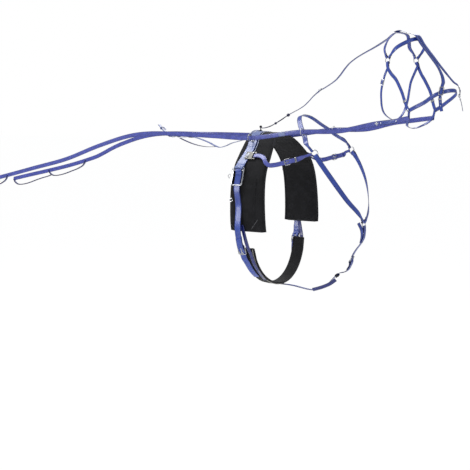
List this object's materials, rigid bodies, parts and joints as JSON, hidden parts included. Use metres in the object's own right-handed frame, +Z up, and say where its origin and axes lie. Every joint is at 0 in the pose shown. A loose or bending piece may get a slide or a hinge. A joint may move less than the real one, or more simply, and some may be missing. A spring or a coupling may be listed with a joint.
{
  "type": "driving harness",
  "caption": "Driving harness in its worn shape: saddle and girth, breast collar, open bridle with overcheck, and reins with hand loops.",
  "frame": {"origin": "seat of the saddle: the underside of the saddle pad, on the middle of the back", "axes": "+X to the front, +Y to the wearer's left, +Z up"},
  "size_m": [2.987, 0.6058, 1.2566],
  "materials": {
    "blue_web": "glossy coated webbing",
    "black_pad": "matte felt and fabric",
    "steel": "polished stainless steel"
  },
  "bodies": {
    "harness": {"saddle_pad": "black_pad", "belly_girth": "black_pad", "saddle_band": "blue_web", "girth_strap_R": "blue_web", "girth_strap_L": "blue_web", "girth_billet_R": "blue_web", "girth_billet_L": "blue_web", "neck_strap": "blue_web", "side_strap_R": "blue_web", "side_strap_L": "blue_web", "side_tab_R": "blue_web", "side_tab_L": "blue_web", "breast_strap_R": "blue_web", "breast_strap_L": "blue_web", "chest_strap": "blue_web", "belly_strap": "blue_web", "crown_strap": "blue_web", "browband": "blue_web", "cheek_strap_R": "blue_web", "cheek_strap_L": "blue_web", "noseband": "blue_web", "throatlatch": "blue_web", "chin_strap": "blue_web", "check_rein": "blue_web", "face_strap_R": "blue_web", "face_strap_L": "blue_web", "rein_R": "blue_web", "rein_L": "blue_web", "back_strap": "blue_web", "hitch_frame_R": "steel", "hitch_frame_L": "steel", "hitch_bracket_R": "steel", "hitch_bracket_L": "steel", "terret_R": "steel", "terret_L": "steel", "check_hook": "steel", "girth_buckle_R": "steel", "girth_buckle_L": "steel", "shoulder_ring_R": "steel", "shoulder_ring_L": "steel", "rein_ring_R": "steel", "rein_ring_L": "steel", "side_buckle_R": "steel", "side_buckle_L": "steel", "chest_ring": "steel", "chest_buckle": "steel", "crown_ring_R": "steel", "crown_ring_L": "steel", "throat_buckle": "steel", "check_buckle": "steel", "nose_buckle_R": "steel", "nose_buckle_L": "steel", "back_buckle": "steel"},
    "latch_R": {"hitch_latch_R": "steel"},
    "latch_L": {"hitch_latch_L": "steel"},
    "girth_tongue_R": {"girth_tongue_R": "steel"},
    "girth_tongue_L": {"girth_tongue_L": "steel"},
    "side_tongue_R": {"side_tongue_R": "steel"},
    "side_tongue_L": {"side_tongue_L": "steel"},
    "chest_tongue": {"chest_tongue": "steel"}
  },
  "joints": [
    {"name": "latch_slide_R", "type": "slide", "parent": "harness", "child": "latch_R", "axis": [-1, 0, 0], "range_m": [0, 0.006], "stiffness_N_per_m": 200, "springref_m": -0.003},
    {"name": "latch_slide_L", "type": "slide", "parent": "harness", "child": "latch_L", "axis": [-1, 0, 0], "range_m": [0, 0.006], "stiffness_N_per_m": 200, "springref_m": -0.003},
    {"name": "girth_tongue_hinge_R", "type": "hinge", "parent": "harness", "child": "girth_tongue_R", "pos_m": [0.04292, -0.27565, -0.53795], "axis": [-0.9982, 0.0167, -0.0575], "range_deg": [0, 60]},
    {"name": "girth_tongue_hinge_L", "type": "hinge", "parent": "harness", "child": "girth_tongue_L", "pos_m": [0.04292, 0.27565, -0.53795], "axis": [0.9982, 0.0167, 0.0575], "range_deg": [0, 60]},
    {"name": "side_tongue_hinge_R", "type": "hinge", "parent": "harness", "child": "side_tongue_R", "pos_m": [0.2918, -0.247, -0.11466], "axis": [-0.251, -0.0495, 0.9667], "range_deg": [0, 60]},
    {"name": "side_tongue_hinge_L", "type": "hinge", "parent": "harness", "child": "side_tongue_L", "pos_m": [0.2918, 0.247, -0.11466], "axis": [0.251, -0.0495, -0.9667], "range_deg": [0, 60]},
    {"name": "chest_tongue_hinge", "type": "hinge", "parent": "harness", "child": "chest_tongue", "pos_m": [0.49882, 0, -0.60406], "axis": [0, 1, 0], "range_deg": [0, 60]}
  ]
}
